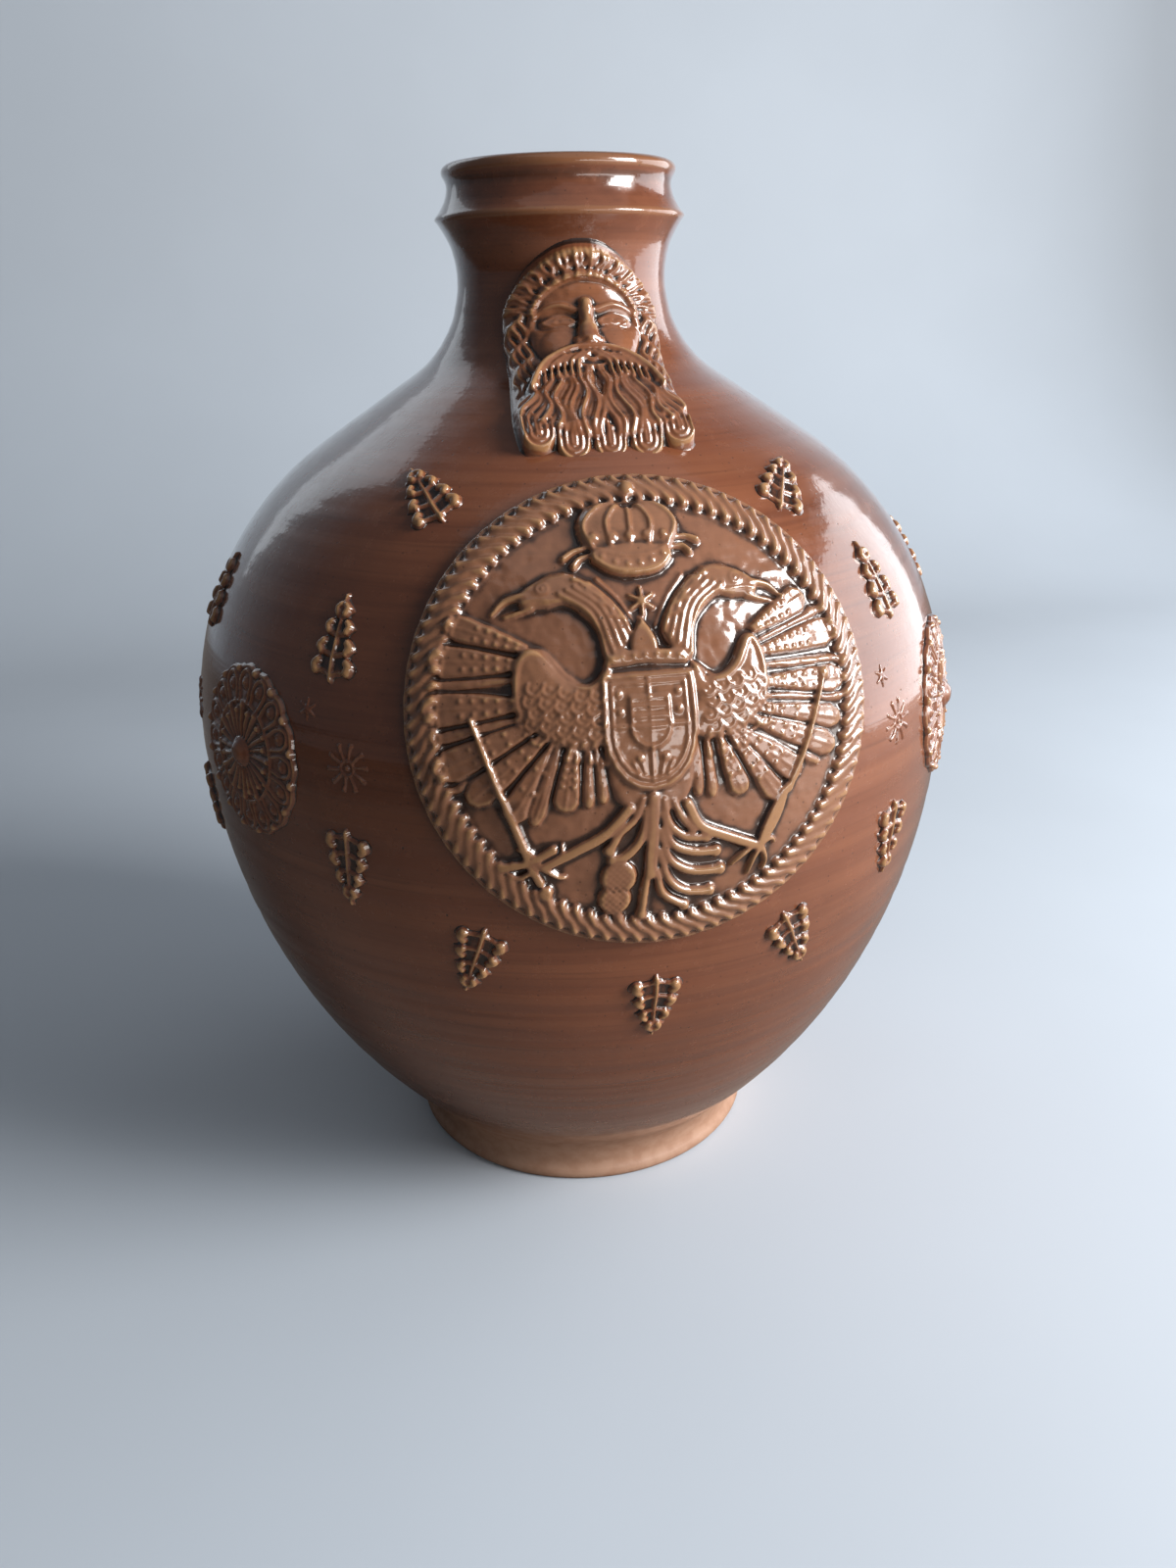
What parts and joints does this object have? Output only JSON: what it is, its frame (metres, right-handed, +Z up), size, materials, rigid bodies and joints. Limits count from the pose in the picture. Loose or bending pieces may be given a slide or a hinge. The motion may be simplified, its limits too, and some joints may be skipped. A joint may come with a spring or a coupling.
{
  "type": "bartmann jug",
  "caption": "Large globular stoneware jug with a narrow ridged neck, a bearded mask, a round eagle medallion, leaf sprigs and a loop handle at the back.",
  "frame": {"origin": "middle of the foot's underside", "axes": "+Z is up along the axis of the thrown body; -Y is the front, where the mask looks; the handle is at +Y"},
  "size_m": [0.2882, 0.2918, 0.378],
  "materials": {
    "body_glaze": "glossy reddish-brown salt glaze over tan stoneware, with fine throwing lines and pits",
    "sprig_glaze": "the same glaze, broken to golden tan on raised edges and dark brown in the recesses"
  },
  "bodies": {
    "root": {"face_mask": "sprig_glaze", "front_medallion": "sprig_glaze", "handle": "body_glaze", "leaf_belly_front": "sprig_glaze", "leaf_belly_left": "sprig_glaze", "leaf_belly_right": "sprig_glaze", "leaf_far_lower_left": "sprig_glaze", "leaf_far_lower_right": "sprig_glaze", "leaf_far_shoulder_left": "sprig_glaze", "leaf_far_shoulder_right": "sprig_glaze", "leaf_lower_left": "sprig_glaze", "leaf_lower_right": "sprig_glaze", "leaf_shoulder_left": "sprig_glaze", "leaf_shoulder_right": "sprig_glaze", "leaf_upper_left": "sprig_glaze", "leaf_upper_right": "sprig_glaze", "rosette_far_left": "sprig_glaze", "rosette_far_right": "sprig_glaze", "rosette_left": "sprig_glaze", "rosette_right": "sprig_glaze", "side_medallion_left": "sprig_glaze", "side_medallion_right": "sprig_glaze", "star_left": "sprig_glaze", "star_right": "sprig_glaze", "vessel": "body_glaze"}
  },
  "joints": []
}
